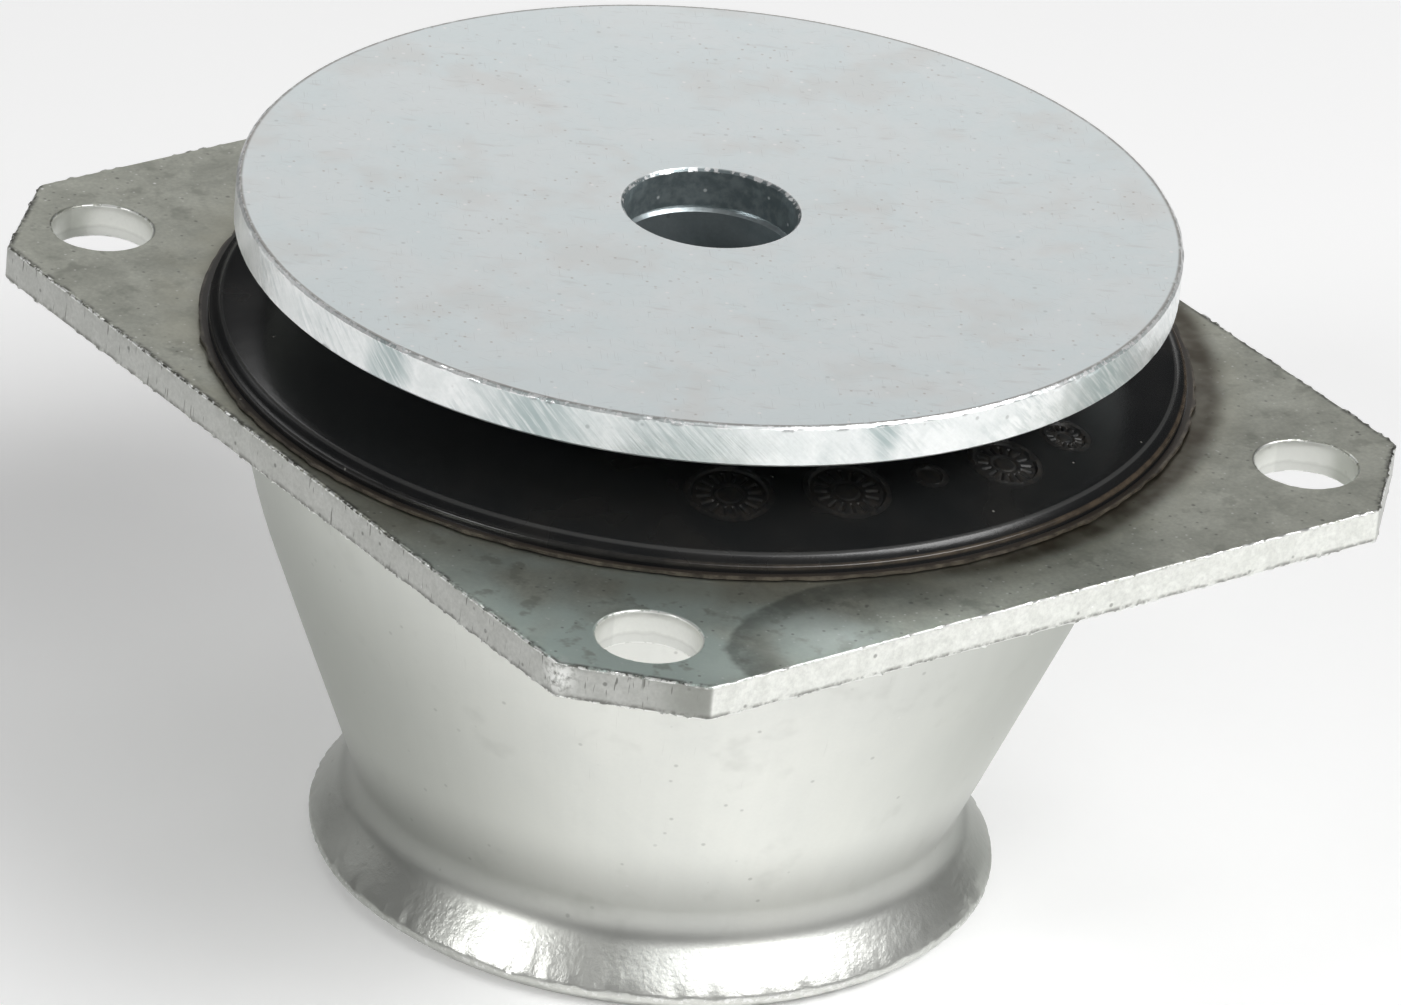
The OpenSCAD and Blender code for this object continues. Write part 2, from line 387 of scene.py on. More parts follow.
tree, shader = new_finish(housing, "zinc_on_housing")
point, x, y, z, radius = places(tree)
half_x, half_y = flange_size.x / 2 / mm, flange_size.y / 2 / mm
aside, ahead = maths(tree, "ABSOLUTE", x), maths(tree, "ABSOLUTE", y)
to_clip = maths(tree, "SUBTRACT", half_x + half_y - corner_cut / mm, maths(tree, "ADD", aside, ahead))
to_edge = maths(tree, "MINIMUM", maths(tree, "MINIMUM", maths(tree, "SUBTRACT", half_x, aside),
                                       maths(tree, "SUBTRACT", half_y, ahead)),
                maths(tree, "MULTIPLY", to_clip, math.sqrt(0.5)))
hole_x, hole_y = (value / mm for value in hole_places[-1])
off_hole = node(tree, "CombineXYZ", {0: maths(tree, "SUBTRACT", aside, hole_x),
                                     1: maths(tree, "SUBTRACT", ahead, hole_y)}).outputs[0]
to_hole = maths(tree, "SUBTRACT", node(tree, "VectorMath", {0: off_hole},
                                       operation="LENGTH").outputs["Value"], hole_r / mm)
top = flange_top / mm
on_top = between(tree, z, top - 0.35, top - 0.1)
below_top = maths(tree, "SUBTRACT", 1.0, on_top)
on_plate = between(tree, z, under_flange / mm, under_flange / mm + 0.2)
on_cut = product(tree, below_top, on_plate, maths(tree, "MAXIMUM", between(tree, to_edge, 0.5, 0.3),
                                                  between(tree, to_hole, 0.3, 0.1)))
on_flare = between(tree, z, 10.0, 7.0)
burr = node(tree, "Attribute", attribute_name="burr").outputs["Fac"]


def by_face(on_shell, on_upper, on_sheared):
    """A number for each kind of face: the pressed shell, the flange's top and the sheared edges."""
    upper = node(tree, "Mix", {0: on_top, 2: on_shell, 3: on_upper}).outputs[0]
    return node(tree, "Mix", {0: on_cut, 2: upper, 3: on_sheared}).outputs[0]


tone = tint(tree, on_cut, tint(tree, on_top, (0.835, 0.842, 0.80, 1), (0.565, 0.575, 0.505, 1)),
            (0.75, 0.76, 0.72, 1))
second_tone = tint(tree, on_cut, tint(tree, on_top, (0.79, 0.80, 0.765, 1), (0.455, 0.465, 0.405, 1)),
                   (0.68, 0.69, 0.65, 1))
skin = node(tree, "Group", {"Point": point, "Tone": tone, "Second tone": second_tone,
                            "Cloud size": by_face(38.0, 7.0, 3.0), "Grain": by_face(0.05, 0.42, 0.4),
                            "Pits": by_face(0.5, 1.0, 1.0)}, node_tree=zinc_skin).outputs
drawn = clouds(tree, wrapped(tree, point, 58, 5, 60), 1, 3.0)
shell_colour = shade(tree, skin["Colour"], between(tree, drawn, 0.3, 0.7, 0.985, 1.01))
smoke = product(tree, between(tree, clouds(tree, point, 9, 3.0), 0.58, 0.74), 0.35)
shell_colour = tint(tree, smoke, shell_colour, (0.58, 0.585, 0.55, 1))
# Painted shade: the cone is darker on its left and at its far right, and the flare at its right end, where
# these walls mirror darker surroundings.
painted_shade_walls = maths(tree, "MAXIMUM", near(tree, point, (-58, 25, 40), 90), near(tree, point, (38, -30, 4), 36))
painted_shade_walls = maths(tree, "MAXIMUM", painted_shade_walls, product(tree, near(tree, point, (34, -50, 50), 60), 0.95))
shell_colour = tint(tree, product(tree, painted_shade_walls, 0.92), shell_colour, (0.42, 0.44, 0.40, 1))
# Painted shade: the cone is darker from about 27 mm down to the neck, where the neck's hollow mirrors the
# part itself.
shell_colour = shade(tree, shell_colour, between(tree, z, 27, 14, 1.0, 0.68))
scuffs = product(tree, between(tree, clouds(tree, wrapped(tree, point, 60, 0.5, 7), 1, 3.0), 0.66, 0.76),
                 between(tree, clouds(tree, point, 14), 0.5, 0.65))
shell_colour = tint(tree, product(tree, scuffs, 0.35), shell_colour, (0.45, 0.45, 0.42, 1))
teal = product(tree, near(tree, point, (-62, -70, top), 62),
               between(tree, clouds(tree, point, 20, 2.0, flat=True), 0.3, 0.55))
top_colour = tint(tree, product(tree, teal, 0.8), skin["Colour"], (0.72, 0.84, 0.80, 1))
smudge = between(tree, clouds(tree, point, 4.5, 3.0, 0.6, flat=True), 0.57, 0.72)
top_colour = tint(tree, product(tree, smudge, 0.5), top_colour, (0.30, 0.305, 0.26, 1))
# A painted reflection: a pale teal patch of blurred light on the flange's front.
pale = product(tree, near(tree, point, (-33, -77, top), 10), clouds(tree, point, 3, 3.0, flat=True))
top_colour = tint(tree, product(tree, pale, 0.9), top_colour, (0.80, 0.86, 0.84, 1))
olive = product(tree, between(tree, radius, shoulder_c.x / mm + 11, shoulder_c.x / mm + 3),
                between(tree, clouds(tree, point, 9, 3.0), 0.3, 0.6))
top_colour = tint(tree, product(tree, olive, 0.5), top_colour, (0.53, 0.52, 0.42, 1))
specks = product(tree, dots(tree, point, 1.6, 0.24, 0.22, flat=True),
                 between(tree, clouds(tree, point, 12), 0.35, 0.6))
top_colour = tint(tree, product(tree, specks, 0.45), top_colour, (1, 1, 1, 1))
grime = dots(tree, point, 2.2, 0.3, 0.2, flat=True)
top_colour = tint(tree, product(tree, grime, 0.45), top_colour, (0.10, 0.10, 0.09, 1))

# A painted reflection: the washer and rubber are mirrored dark in the flange's front corner, painted as a
# patch that is dark inside its crisp outer line.
washer_reflection = node(tree, "VectorMath", {0: point, 1: (-29, -80.5, top)}, operation="SUBTRACT").outputs[0]
washer_reflection = node(tree, "VectorMath", {0: washer_reflection, 1: (0.75, 1, 0)}, operation="MULTIPLY").outputs[0]
washer_reflection = node(tree, "VectorMath", {0: washer_reflection}, operation="LENGTH").outputs["Value"]
washer_reflection = maths(tree, "MULTIPLY_ADD", clouds(tree, point, 7, flat=True), 3.0, washer_reflection)
washer_reflection = product(tree, between(tree, washer_reflection, 17.6, 16.6), between(tree, washer_reflection, 10.5, 16.0),
               between(tree, x, -8, -24),
               between(tree, clouds(tree, point, 2.0, 3.0), 0.2, 0.6, 0.6, 1.0))
top_colour = tint(tree, product(tree, washer_reflection, 0.7), top_colour, (0.17, 0.18, 0.16, 1))

# Round the rubber the flange is painted dark brown: painted shade where the rubber meets it, and a brown
# stain where the rubber spread onto it in the mould, widest at one end.
edge_run = 1.2 * mm
rubber_r = (shoulder_c.x + edge_run) / mm


def stain_and_light_side(tree, point, start_mm, end_mm):
    """0 on one side, rising to 1 on the side that the moulding stained and the key lamp lights."""
    across = node(tree, "VectorMath", {0: point, 1: (0.79, -0.61, 0)}, operation="DOT_PRODUCT")
    return between(tree, across.outputs["Value"], start_mm, end_mm)


stain_side = stain_and_light_side(tree, point, 10, 58)
stain_end = maths(tree, "MULTIPLY_ADD", stain_side, 3.2, rubber_r + 2.2)
rim_shade_and_stain = product(tree, between(tree, radius, stain_end, maths(tree, "SUBTRACT", stain_end, 3.5)),
                 between(tree, clouds(tree, point, 5.0, 2.0, flat=True), 0.25, 0.7, 0.75, 1.0),
                 between(tree, stain_side, 0, 1, 0.6, 1.0))
top_colour = tint(tree, rim_shade_and_stain, top_colour, (0.10, 0.085, 0.06, 1))

# The two sides turned from the key lamp get a dark line along the top edge and darker sheared faces, painted
# shade; the other two get lighter sheared faces and more bright lumps along the burrs, painted light.
key_shaded_side = between(tree, aside, half_x - 15.1, half_x - 14.3)
flaws = between(tree, clouds(tree, point, 1.6, 3.0, 0.65), 0.35, 0.6)
edge_shade = product(tree, between(tree, to_edge, 1.1, 0.35), flaws, key_shaded_side)
top_colour = tint(tree, product(tree, edge_shade, 0.95), top_colour, (0.12, 0.12, 0.105, 1))
# The flare is lifted back out of most of the painted shade above.
shell_colour = shade(tree, shell_colour, between(tree, on_flare, 0, 1, 1.0, 1.25))
rim_burrs = product(tree, between(tree, z, 4.5, 3.5),
                    between(tree, radius, rim_corner.x / mm - 0.7, rim_corner.x / mm - 0.3),
                    between(tree, clouds(tree, point, 0.8, 2.0), 0.5, 0.6))
shell_colour = tint(tree, product(tree, rim_burrs, 0.8), shell_colour, (1, 1, 1, 1))
colour = tint(tree, on_top, shell_colour, top_colour)
# Painted shade and light: the sheared faces are darker on the two sides turned from the key lamp and lighter
# on the others.
cut_colour = shade(tree, skin["Colour"], between(tree, key_shaded_side, 0, 1, 1.14, 0.70))
# The clip face is darker towards its corner with the −Y side.
clip_corner_dark = product(tree, near(tree, point, (-57, -80.3, top - 2.5), 9), key_shaded_side)
cut_colour = tint(tree, product(tree, clip_corner_dark, 0.8), cut_colour, (0.28, 0.29, 0.26, 1))

# In the holes the punch left a smooth upper wall and a duller torn one, with a faint line between.
pierced = between(tree, to_hole, 1.0, 0.5)
cut_colour = tint(tree, product(tree, pierced, 0.8), cut_colour, (0.74, 0.75, 0.71, 1))
wall_depth = maths(tree, "MULTIPLY_ADD", clouds(tree, point, 2.0), 0.9, maths(tree, "SUBTRACT", top, z))
torn_zone = product(tree, pierced, between(tree, wall_depth, 3.6, 4.0))
cut_colour = shade(tree, cut_colour, between(tree, torn_zone, 0, 1, 1.0, 0.90))
break_line = product(tree, pierced, between(tree, wall_depth, 3.4, 3.7),
                     between(tree, wall_depth, 4.2, 3.8))
cut_colour = tint(tree, product(tree, break_line, 0.15), cut_colour, (0.30, 0.30, 0.27, 1))
colour = tint(tree, on_cut, colour, cut_colour)
nicks = between(tree, clouds(tree, stretched(tree, point, (0.45, 0.45, 3.5)), 1, 1.0), 0.67, 0.74)
under_line = product(tree, between(tree, z, under_flange / mm + 1.1, under_flange / mm + 0.35), flaws)
scars = product(tree, on_cut, maths(tree, "SUBTRACT", 1.0, pierced),
                maths(tree, "MAXIMUM", product(tree, nicks, key_shaded_side), under_line))
colour = tint(tree, product(tree, scars, 0.8), colour, (0.13, 0.13, 0.115, 1))
# More bright lumps on the burrs of the two lit sides: a painted bright lip.
lumps = between(tree, clouds(tree, point, 0.9, 2.0), between(tree, key_shaded_side, 0, 1, 0.36, 0.46),
                between(tree, key_shaded_side, 0, 1, 0.46, 0.56))
lumps = product(tree, burr, lumps)
torn_corner = near(tree, point, torn_place / mm, torn_reach / mm)
torn_grain = clouds(tree, point, 0.8, 3.0)
lumps = maths(tree, "MAXIMUM", lumps, product(tree, torn_corner, between(tree, torn_grain, 0.4, 0.6)))
gouges = product(tree, torn_corner, between(tree, torn_grain, 0.42, 0.32), 0.9)
colour = tint(tree, gouges, colour, (0.12, 0.12, 0.11, 1))
colour = tint(tree, lumps, colour, (0.97, 0.98, 0.95, 1))
tree.links.new(colour, shader.inputs["Base Color"])

sheared_face = product(tree, on_cut, between(tree, pierced, 0, 1, 1.0, 0.2))
metal = maths(tree, "MULTIPLY_ADD", sheared_face, -0.42, between(tree, on_flare, 0, 1, 0.92, 0.85))
tree.links.new(metal, shader.inputs["Metallic"])
rough = between(tree, on_flare, 0, 1, 0.40, 0.33)
rough = maths(tree, "MULTIPLY_ADD", skin["Grain"], 0.06, rough)
rough = maths(tree, "MULTIPLY_ADD", on_top, -0.05, rough)
tree.links.new(rough, shader.inputs["Roughness"])

crinkle = clouds(tree, point, 1.1, 3.0, 0.65)
relief = product(tree, crinkle, maths(tree, "MULTIPLY_ADD", on_cut, 1.4,
                                      between(tree, on_flare, 0, 1, 0.4, 2.3)))
waves = clouds(tree, point, 14, 1.0, flat=True)
relief = maths(tree, "MULTIPLY_ADD", product(tree, waves, on_top), 9.0, relief)
bump = node(tree, "Bump", {"Distance": 0.03 * mm, "Height": relief})
tree.links.new(bump.outputs[0], shader.inputs["Normal"])


# Core. A steel cone turned from bar and bored for the centre bolt, zinc plated. Its flat top
# carries the washer, and the rubber hides all of it but the bore and the plain lower end.
low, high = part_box("inner_core")
core_top, core_foot = high.z, low.z
bore_r, bore_chamfer = 12 * mm, 0.6 * mm
stub_r, stub_foot = 27 * mm, flange_top + 1.5 * mm
widest = Vector((high.x, flange_top - 4 * mm))
plain_r, plain_top = 21 * mm, 22 * mm
core_chamfer = 1 * mm
core_bm = bmesh.new()
first = tip = start_section(core_bm, (bore_r, core_foot + bore_chamfer))
tip = run(core_bm, tip, (bore_r, core_top - bore_chamfer), 12)
tip = run(core_bm, tip, (bore_r + bore_chamfer, core_top))
tip = run(core_bm, tip, (stub_r - core_chamfer, core_top), 3)
tip = run(core_bm, tip, (stub_r, core_top - core_chamfer))
tip = run(core_bm, tip, (stub_r, stub_foot), 3)
tip = run(core_bm, tip, widest)
tip = run(core_bm, tip, (plain_r, plain_top), 4)
tip = run(core_bm, tip, (plain_r, core_foot + core_chamfer), 3)
tip = run(core_bm, tip, (plain_r - core_chamfer, core_foot))
tip = run(core_bm, tip, (bore_r + bore_chamfer, core_foot))
core_bm.edges.new((tip, first))
lathe(core_bm, 160)
core = finished(core_bm, "bored_core")
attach(core, "core_body")
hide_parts("inner_core")

tree, shader = new_finish(core, "zinc_on_core")
shader.inputs["Metallic"].default_value = 0.85
point, x, y, z, radius = places(tree)
skin = node(tree, "Group", {"Point": point, "Tone": (0.50, 0.56, 0.575, 1),
                            "Second tone": (0.42, 0.48, 0.50, 1), "Cloud size": 7.0,
                            "Grain": 0.2, "Pits": 1.0}, node_tree=zinc_skin).outputs
turned = clouds(tree, wrapped(tree, point, 20, 30, 0.35), 1, 2.0)
tree.links.new(skin["Colour"], shader.inputs["Base Color"])
tree.links.new(maths(tree, "MULTIPLY_ADD", skin["Grain"], 0.12, 0.26), shader.inputs["Roughness"])
relief = maths(tree, "MULTIPLY_ADD", turned, 0.8, skin["Height"])
bump = node(tree, "Bump", {"Distance": 0.02 * mm, "Height": relief})
tree.links.new(bump.outputs[0], shader.inputs["Normal"])


# Rubber. Moulded between the housing and the core and bonded to both, with a shallow dome on
# top, two ridge lines round it, a thin edge on the flange and a hollow ring underneath.
bond_t = 0.2 * mm
dome_top = flange_top + 8 * mm
ridge = Vector((shoulder_c.x - 1.6 * mm, flange_top + 2.7 * mm))
bead = Vector((shoulder_c.x, flange_top + 1.6 * mm))
groove = ridge + Vector((0.7, -0.85)) * mm
ridge_round = 0.28 * mm
edge_foot = flange_top + bond_t
edge_t = 0.4 * mm
dome_in = Vector((stub_r + bond_t, dome_top))
dome_run, dome_drop = ridge.x - dome_in.x, dome_in.y - ridge.y
dome_r = (dome_run ** 2 + dome_drop ** 2) / (2 * dome_drop)
dome_deg = math.degrees(math.asin(dome_run / dome_r))
hem_r = neck_r + sheet_t + bond_t
hem_lift = 2 * mm
hem_deg = math.degrees(math.asin(hem_lift / hem_r))
hem_out = polar(neck_c, hem_r, 180 - hem_deg)
hem_in = Vector((plain_r + bond_t, neck_h + hem_lift))
hollow_h = 11 * mm
rubber_bm = bmesh.new()
tip = start_section(rubber_bm, dome_in)
tip = bend(rubber_bm, tip, dome_in - Vector((0, dome_r)), dome_deg, 28)
tip = run(rubber_bm, tip, groove)
tip = run(rubber_bm, tip, bead)
tip = run(rubber_bm, tip, (shoulder_c.x, edge_foot + edge_t), 2)
tip = run(rubber_bm, tip, (shoulder_c.x + edge_run, edge_foot + edge_t), 2)
tip = run(rubber_bm, tip, (shoulder_c.x + edge_run, edge_foot))
tip = run(rubber_bm, tip, (shoulder_c.x, edge_foot))
tip = bend(rubber_bm, tip, shoulder_c, mouth_deg - 90, 6)
tip = bend(rubber_bm, tip, bulge_c, cone_deg - mouth_deg, 6)
tip = run(rubber_bm, tip, polar(neck_c, hem_r, 180 - cone_deg), 6)
tip = bend(rubber_bm, tip, neck_c, hem_deg - cone_deg, 3)
arch_r = ((hem_out.x - hem_in.x) ** 2 / 4 + hollow_h ** 2) / (2 * hollow_h)
arch_deg = 2 * math.degrees(math.asin((hem_out.x - hem_in.x) / 2 / arch_r))
tip = bend(rubber_bm, tip, (hem_out + hem_in) / 2 + Vector((0, hollow_h - arch_r)), -arch_deg, 14)
tip = run(rubber_bm, tip, (plain_r + bond_t, plain_top), 2)
tip = run(rubber_bm, tip, (widest.x + bond_t, widest.y), 6)
tip = run(rubber_bm, tip, (stub_r + bond_t, stub_foot + bond_t))
tip = run(rubber_bm, tip, dome_in, 2)
bmesh.ops.remove_doubles(rubber_bm, verts=rubber_bm.verts[:], dist=0.001 * mm)
lathe(rubber_bm, 256)
for corner in (ridge, bead):
    ring = [e for e in rubber_bm.edges if all(
        (Vector((v.co.xy.length, v.co.z)) - corner).length < 0.02 * mm for v in e.verts)]
    bmesh.ops.bevel(rubber_bm, geom=ring, affect="EDGES", offset=ridge_round, segments=3,
                    profile=0.5, material=-1)

# The moulding tool left five round marks along the front of the dome: three shallow dials with
# plain ticks, and two small plugs. Each is its angle, its distance from the axis and its radius.
tool_marks = ((-121.6, 54, 5.2), (-104.4, 54, 5.2), (-91.0, 54, 1.8), (-78.5, 56, 4.4),
              (-65.5, 57, 2.9))
smallest_dial_mm = 2.5
mark_depth, tick_depth, lip_h = 0.3 * mm, 0.25 * mm, 0.13 * mm
tick_count = 16
for degrees, out_mm, mark_mm in tool_marks:
    centre = polar(Vector((0, 0)), out_mm * mm, degrees)
    mark_r = mark_mm * mm
    for margin, cuts in ((1.2 * mm, 3), (0.3 * mm, 2)):
        within = [e for e in rubber_bm.edges if all(
            (v.co.xy - centre).length < mark_r + margin and v.co.z > flange_top for v in e.verts)]
        bmesh.ops.subdivide_edges(rubber_bm, edges=within, cuts=cuts, use_grid_fill=True)
    for vert in rubber_bm.verts:
        out = vert.co.xy - centre
        if vert.co.z < flange_top or out.length > mark_r + 0.3 * mm:
            continue
        share = out.length / mark_r
        level = -mark_depth * min(1, max(0, (mark_r - out.length) / (0.2 * mm)))
        level += lip_h * max(0, 1 - abs(out.length - mark_r - 0.12 * mm) / (0.18 * mm))
        if mark_mm > smallest_dial_mm:
            tick = math.cos(tick_count / 2 * math.atan2(out.y, out.x)) ** 8 * (0.5 < share < 0.86)
            ring = max(0, 1 - abs(share - 0.36) * mark_mm / 0.3)
            level -= tick_depth * max(tick, 0.7 * ring)
        vert.co.z += level

for vert in rubber_bm.verts:
    if vert.co.xy.length > shoulder_c.x + 0.9 * mm:
        ragged = noise.noise(vert.co / (2.5 * mm)) + 0.6 * noise.noise(vert.co / (0.8 * mm))
        vert.co.xy *= 1 + ragged * 0.35 * mm / vert.co.xy.length
rubber = finished(rubber_bm, "rubber_spring")
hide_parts("rubber_cone")
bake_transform(rubber, "housing_body", "core_body", start=(0, 0, hem_in.y), end=(0, 0, dome_top))


# Between the hem and the flange the core and the wall grow wider by this much.
core_spread, wall_spread = 17 * mm, 24 * mm


def core_share(point):
    """How far the rubber follows the core here: 0 at the housing's wall, 1 at the core."""
    rise = min(1, max(0, (point.z - hem_in.y) / (flange_top - hem_in.y)))
    inner, outer = hem_in.x + rise * core_spread, hem_out.x + rise * wall_spread
    if point.z > flange_top:
        inner, outer = dome_in.x, shoulder_c.x
    return min(1, max(0, (outer - point.xy.length) / (outer - inner)))


# The rubber is bonded to both steel pieces, so it shears evenly from one to the other.
for value, vert in zip(rubber.data.attributes["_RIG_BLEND"].data, rubber.data.vertices):
    value.value = core_share(vert.co)

tree, shader = new_finish(rubber, "moulded_rubber")
shader.inputs["Specular IOR Level"].default_value = 0.45
point, x, y, z, radius = places(tree)
bloom = clouds(tree, point, 16, 2.5, 0.5)
colour = tint(tree, product(tree, between(tree, bloom, 0.45, 0.75), 0.5),
              (0.009, 0.0095, 0.010, 1), (0.022, 0.020, 0.018, 1))
marked = None
for degrees, out_mm, mark_mm in tool_marks:
    centre = polar(Vector((0, 0)), out_mm, degrees)
    away = node(tree, "VectorMath", {0: point, 1: (*centre, top + 5)}, operation="DISTANCE")
    inside = between(tree, away.outputs["Value"], mark_mm + 1.0, mark_mm + 0.4)
    marked = maths(tree, "MAXIMUM", marked, inside) if marked else inside
colour = tint(tree, product(tree, marked, between(tree, clouds(tree, point, 1.0), 0.4, 0.65)), colour,
              (0.022, 0.019, 0.016, 1))
# A painted highlight along the bead: faint grey on one side, brighter and brown on the lit side, where the
# bead is also stained.
bead_highlight = product(tree, between(tree, radius, bead.x / mm - 0.6, bead.x / mm - 0.3),
                    between(tree, z, top + 0.9, top + 1.3), between(tree, z, top + 2.0, top + 1.7))
dusty = between(tree, clouds(tree, point, 2.4, 4.0, 0.65), 0.3, 0.7)
lit_and_brown_side = stain_and_light_side(tree, point, -25, 40)
colour = tint(tree, product(tree, bead_highlight, between(tree, dusty, 0, 1, 0.5, 1.0),
                           between(tree, lit_and_brown_side, 0, 1, 0.3, 0.7)), colour,
              tint(tree, lit_and_brown_side, (0.055, 0.053, 0.050, 1), (0.10, 0.075, 0.052, 1)))
# A painted highlight: a thin pale line along the ridge.
ridge_highlight = product(tree, between(tree, radius, ridge.x / mm - 0.4, ridge.x / mm - 0.15),
                     between(tree, radius, ridge.x / mm + 0.3, ridge.x / mm + 0.1))
colour = tint(tree, product(tree, ridge_highlight, 0.4), colour, (0.10, 0.10, 0.098, 1))
thin_edge = product(tree, between(tree, radius, rubber_r - 0.45, rubber_r - 0.2), dusty)
film = between(tree, radius, rubber_r - 1.15, rubber_r - 0.9)
colour = tint(tree, product(tree, film, 0.7), colour, (0.035, 0.027, 0.020, 1))
colour = tint(tree, product(tree, thin_edge, 0.55), colour, (0.19, 0.165, 0.125, 1))
grey = dots(tree, point, 3.5, 0.25, 0.25)
colour = tint(tree, product(tree, grey, 0.6), colour, (0.35, 0.34, 0.31, 1))
tree.links.new(colour, shader.inputs["Base Color"])
rough = maths(tree, "MULTIPLY_ADD", bloom, 0.22, 0.14)
rough = maths(tree, "MULTIPLY_ADD", maths(tree, "MAXIMUM", marked, film), 0.2, rough)
tree.links.new(rough, shader.inputs["Roughness"])
relief = maths(tree, "MULTIPLY_ADD", clouds(tree, point, 0.4, 1.0), 0.5, clouds(tree, point, 3, 2.0))
bump = node(tree, "Bump", {"Distance": 0.02 * mm, "Height": relief})
tree.links.new(bump.outputs[0], shader.inputs["Normal"])


# Washer. A round plate, cut from 6 mm bar and faced on its edge, zinc plated bright. It lies
# loose on the core until the centre bolt clamps it.
low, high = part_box("top_washer")
washer_bm = bmesh.new()
chamfer = 0.4 * mm
burr_stand = 0.06 * mm
rim = high.x - burr_stand
tip = start_section(washer_bm, (bore_r, low.z + chamfer))
tip = run(washer_bm, tip, (bore_r + chamfer, low.z))
tip = run(washer_bm, tip, (rim - chamfer, low.z), 4)
tip = run(washer_bm, tip, (rim, low.z + chamfer), 2)
tip = run(washer_bm, tip, (rim, high.z - chamfer), 8)
tip = run(washer_bm, tip, (rim - chamfer, high.z), 3)
tip = run(washer_bm, tip, (rim - 4 * mm, high.z), 1)
tip = run(washer_bm, tip, (bore_r + 2 * mm, high.z), 12)
tip = run(washer_bm, tip, (bore_r + chamfer, high.z), 1)
tip = run(washer_bm, tip, (bore_r, high.z - chamfer), 2)
tip = run(washer_bm, tip, (bore_r, low.z + chamfer), 3)
bmesh.ops.remove_doubles(washer_bm, verts=washer_bm.verts[:], dist=0.001 * mm)
lathe(washer_bm, 720)
for vert in washer_bm.verts:
    out = Vector((vert.co.x, vert.co.y, 0)).normalized()
    chips = noise.noise(vert.co / (1.1 * mm)) + 0.5 * noise.noise(vert.co / (6 * mm))
    if vert.co.xy.length > rim - 0.01 * mm:
        vert.co += out * min(0.9, max(-1, chips)) * 0.05 * mm
    elif high.z - chamfer < vert.co.z < high.z - 0.01 * mm:
        vert.co -= (out + Vector((0, 0, 1))) * max(0, chips) * 0.12 * mm
washer = finished(washer_bm, "plate_washer")
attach(washer, "core_body")
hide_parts("top_washer")

# Fine scratches, from handling and stacking: thin dashes in three directions.
fine_scratches, takes, gives = new_group("fine_scratches", {"Point": "Vector"}, {"Mask": "Float"})
dashes = None
for turn_deg, length_mm in ((17, 5), (68, 3.5), (121, 4)):
    thin = stretched(fine_scratches, takes["Point"], (length_mm, 0.14, 1), turn_deg)
    line = between(fine_scratches, clouds(fine_scratches, thin, 1, 0.0, flat=True), 0.83, 0.88)
    dashes = maths(fine_scratches, "MAXIMUM", dashes, line) if dashes else line
give(fine_scratches, gives, Mask=dashes)

tree, shader = new_finish(washer, "zinc_on_washer")
shader.inputs["Metallic"].default_value = 0.6
point, x, y, z, radius = places(tree)
lid, rim_mm = high.z / mm, rim / mm
on_rim = between(tree, radius, rim_mm - 0.45, rim_mm - 0.25)
skin = node(tree, "Group", {
    "Point": point, "Tone": tint(tree, on_rim, (0.83, 0.895, 0.905, 1), (0.94, 0.96, 0.955, 1)),
    "Second tone": tint(tree, on_rim, (0.86, 0.905, 0.91, 1), (0.84, 0.87, 0.865, 1)),
    "Cloud size": between(tree, on_rim, 0, 1, 12.0, 5.0),
    "Grain": between(tree, on_rim, 0, 1, 0.05, 0.15),
    "Pits": between(tree, on_rim, 0, 1, 0.35, 0.6)}, node_tree=zinc_skin).outputs
warm = between(tree, clouds(tree, point, 17, 3.0, 0.6, flat=True), 0.48, 0.72)
patch = maths(tree, "MAXIMUM", near(tree, point, (19, -14, lid), 15),
              near(tree, point, (-37, 50, lid), 12))
patch = maths(tree, "MAXIMUM", patch, near(tree, point, (-30, -52, lid), 16))
warm = maths(tree, "MAXIMUM", product(tree, warm, 0.65), product(tree, patch, warm))
face_colour = tint(tree, product(tree, warm, 0.45), skin["Colour"], (0.76, 0.71, 0.67, 1))
smear = between(tree, clouds(tree, stretched(tree, point, (7, 1.6, 1), 40), 1, 3.0, flat=True), 0.62, 0.8)
face_colour = tint(tree, product(tree, smear, 0.25), face_colour, (0.55, 0.53, 0.51, 1))
in_bore = between(tree, radius, bore_r / mm + 0.45, bore_r / mm + 0.2)
marks = node(tree, "Group", {"Point": point}, node_tree=fine_scratches).outputs["Mask"]
face_colour = tint(tree, product(tree, marks, 0.2), face_colour, (0.30, 0.29, 0.28, 1))
rust = product(tree, dots(tree, point, 2.1, 0.28, 0.3, flat=True),
               between(tree, clouds(tree, point, 20, flat=True), 0.45, 0.6))
face_colour = tint(tree, product(tree, rust, 0.4), face_colour, (0.34, 0.27, 0.22, 1))
glints = dots(tree, point, 5.0, 0.35, 0.25, flat=True)
face_colour = tint(tree, product(tree, glints, 0.8), face_colour, (1, 1, 1, 1))
rim_line = product(tree, between(tree, radius, rim_mm - 0.95, rim_mm - 0.55),
                   between(tree, clouds(tree, point, 2.2, 3.0, 0.65, flat=True), 0.25, 0.5, 0.5, 1.0))
face_colour = tint(tree, product(tree, rim_line, 0.75), face_colour, (0.20, 0.17, 0.15, 1))
bare = clouds(tree, wrapped(tree, point, rim_mm, 15, 30), 1, 2.0)
leaned = node(tree, "VectorRotate", {"Vector": point, "Angle": maths(tree, "DIVIDE", z, rim_mm)},
              rotation_type="Z_AXIS").outputs[0]
streaks = between(tree, clouds(tree, wrapped(tree, leaned, rim_mm, 0.8, 5), 1, 3.0), 0.3, 0.6, 0.3, 1.0)
teal = product(tree, between(tree, bare, 0.58, 0.70), streaks)
